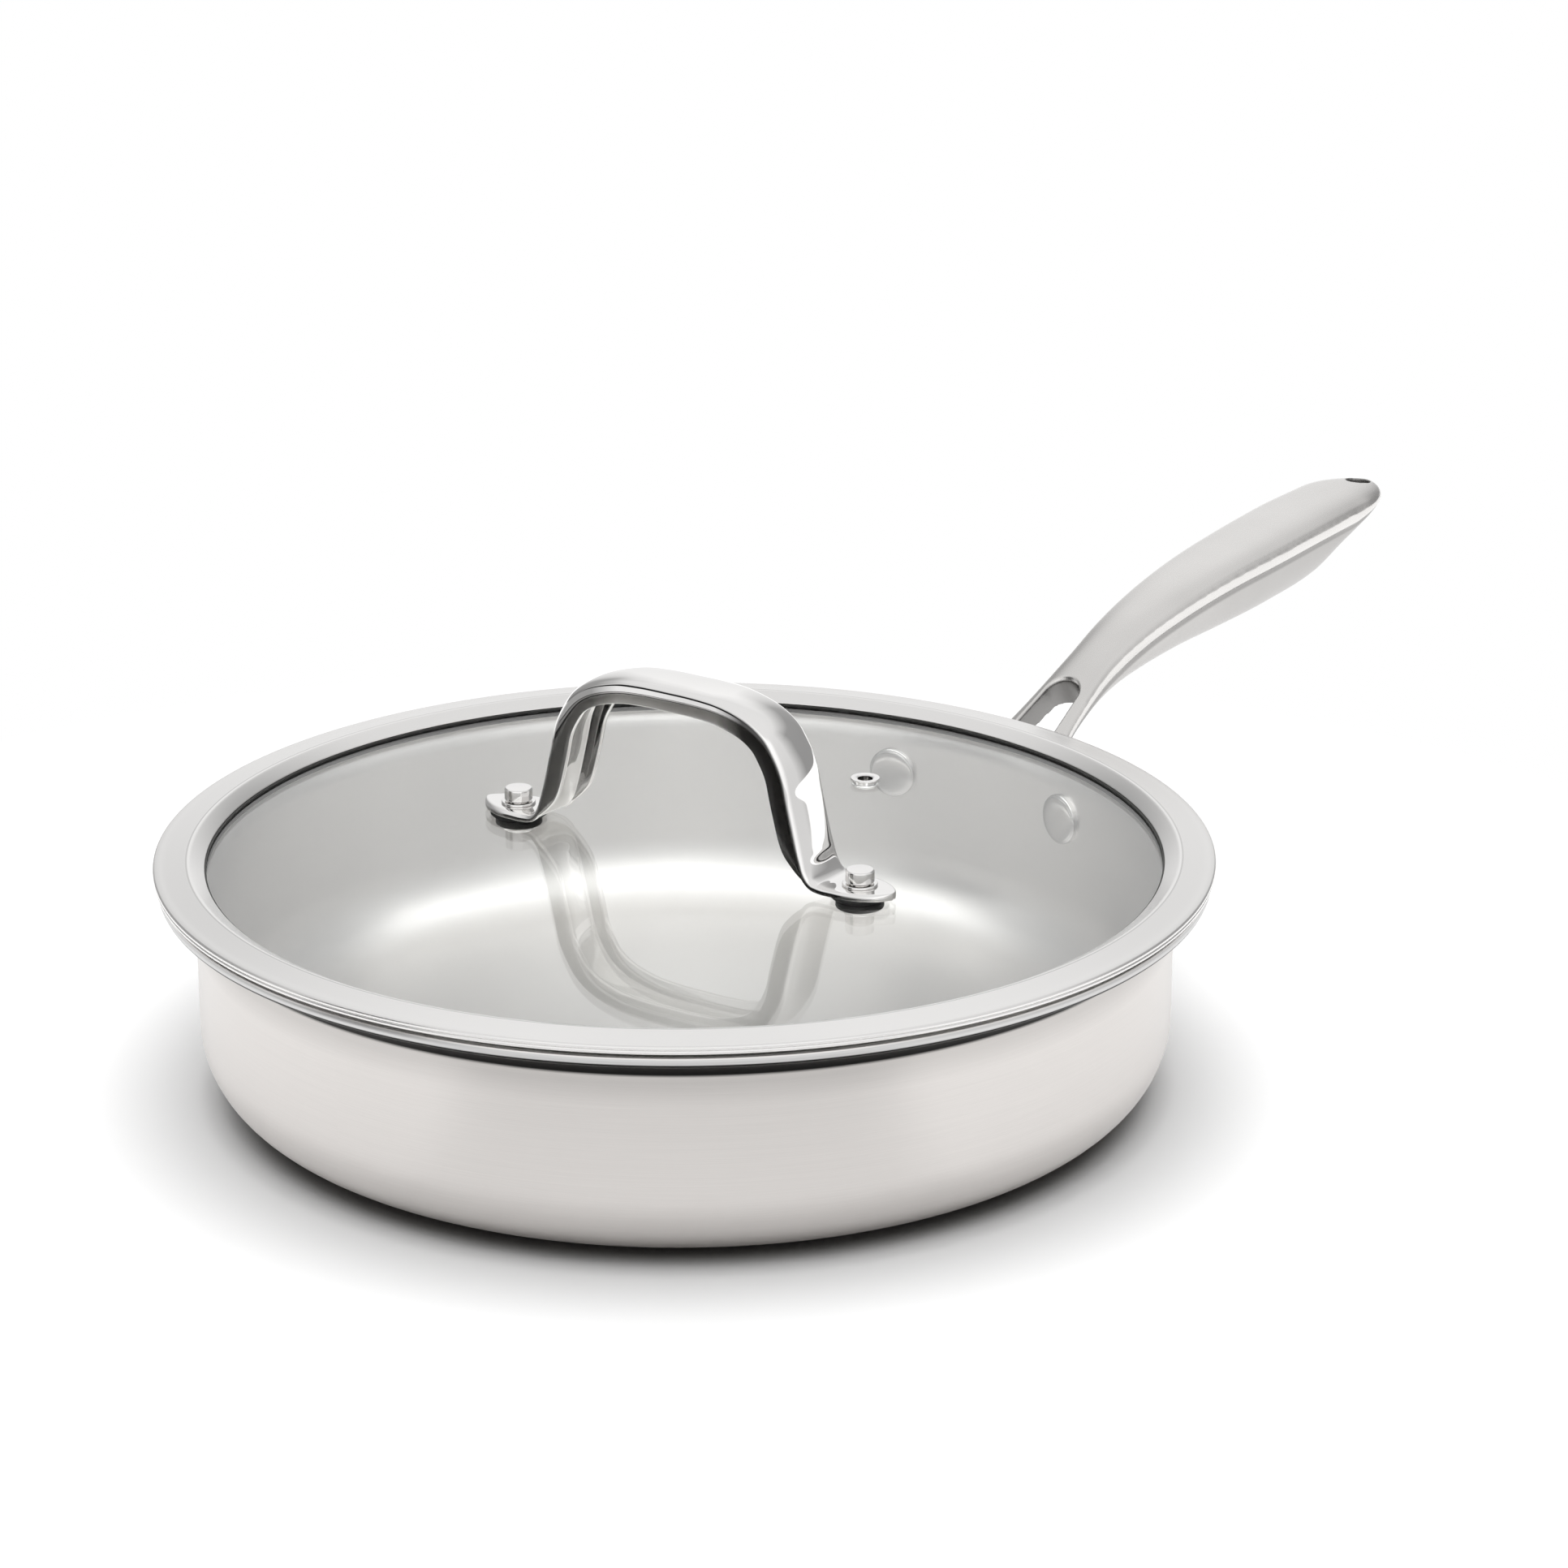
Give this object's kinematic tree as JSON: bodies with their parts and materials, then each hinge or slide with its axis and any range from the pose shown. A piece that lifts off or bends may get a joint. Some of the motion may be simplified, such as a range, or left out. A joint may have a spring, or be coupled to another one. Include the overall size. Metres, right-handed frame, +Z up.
{
  "type": "frying pan with lid",
  "caption": "Steel frying pan with a riveted, pierced long handle and a flat glass lid with a steel rim, an arched strap handle and a steam vent; the lid lifts off.",
  "frame": {"origin": "centre of the underside of the pan's flat base", "axes": "+Z up, square to the base; +X along the pan's long handle, from the centre towards its tip"},
  "size_m": [0.4296, 0.265, 0.1055],
  "materials": {
    "pan_inside": "satin, brushed in circles",
    "core": "plain, closed in between the steel layers",
    "pan_outside": "satin, fine brushing round the wall",
    "handle_cast": "satin cast steel",
    "rivets": "polished",
    "glass": "clear and flat",
    "gasket": "matte dark grey",
    "ring": "polished, fine brushing round the rim",
    "strap": "mirror polished steel",
    "fixings": "polished",
    "pads": "matte black"
  },
  "bodies": {
    "pan": {"pan_inner_layer": "pan_inside", "pan_core": "core", "pan_outer_layer": "pan_outside", "pan_handle": "handle_cast", "rivet_left": "rivets", "rivet_right": "rivets"},
    "lid": {"lid_glass": "glass", "lid_gasket": "gasket", "lid_ring": "ring", "steam_vent": "fixings", "lid_handle": "strap", "pad_left": "pads", "pad_right": "pads", "washer_left": "fixings", "washer_right": "fixings", "button_left": "fixings", "button_right": "fixings", "seal_left": "pads", "seal_right": "pads", "screw_left": "fixings", "screw_right": "fixings"}
  },
  "joints": [
    {"name": "lid_lift", "type": "slide", "parent": "pan", "child": "lid", "axis": [0, 0, 1], "range_m": [0, 0.12]}
  ]
}
